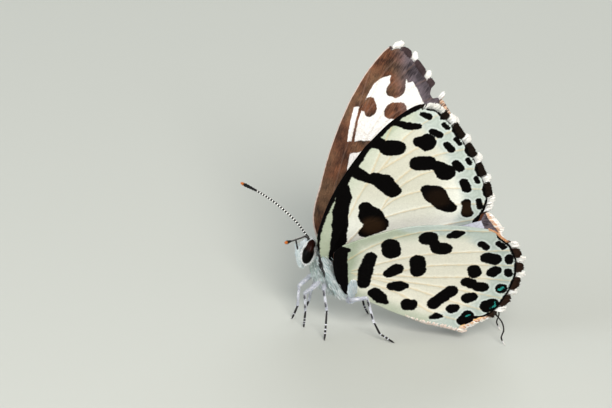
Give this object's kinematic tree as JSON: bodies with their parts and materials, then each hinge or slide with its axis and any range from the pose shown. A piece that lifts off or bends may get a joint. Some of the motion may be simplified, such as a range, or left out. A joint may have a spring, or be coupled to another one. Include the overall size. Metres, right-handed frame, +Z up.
{
  "type": "common pierrot butterfly",
  "caption": "Life-size common pierrot butterfly standing at rest, wings closed over its back, white undersides spotted black, ringed feelers and legs, thin hind wing tails.",
  "frame": {"origin": "on the ground under the middle of the whole animal's box", "axes": "+Z up, -X the way the head faces, +Y the animal's right side"},
  "size_m": [0.0188, 0.01, 0.0186],
  "materials": {
    "wing": "creamy white wing scales with black spots, matt",
    "body_hair": "bluish white hair-like scales over dark cuticle",
    "eye": "black compound eye, semi-gloss",
    "antenna": "black scales with fine white rings and an orange-brown tip",
    "leg": "white scales with black rings on the feet"
  },
  "bodies": {
    "root": {"head": "body_hair", "thorax": "body_hair", "abdomen": "body_hair", "eye_left": "eye", "eye_right": "eye", "palp_left": "body_hair", "palp_right": "body_hair", "antenna_left": "antenna", "antenna_right": "antenna", "forewing_left": "wing", "forewing_right": "wing", "hindwing_left": "wing", "hindwing_right": "wing", "leg_fore_left": "leg", "leg_fore_right": "leg", "leg_mid_left": "leg", "leg_mid_right": "leg", "leg_hind_left": "leg", "leg_hind_right": "leg"}
  },
  "joints": []
}
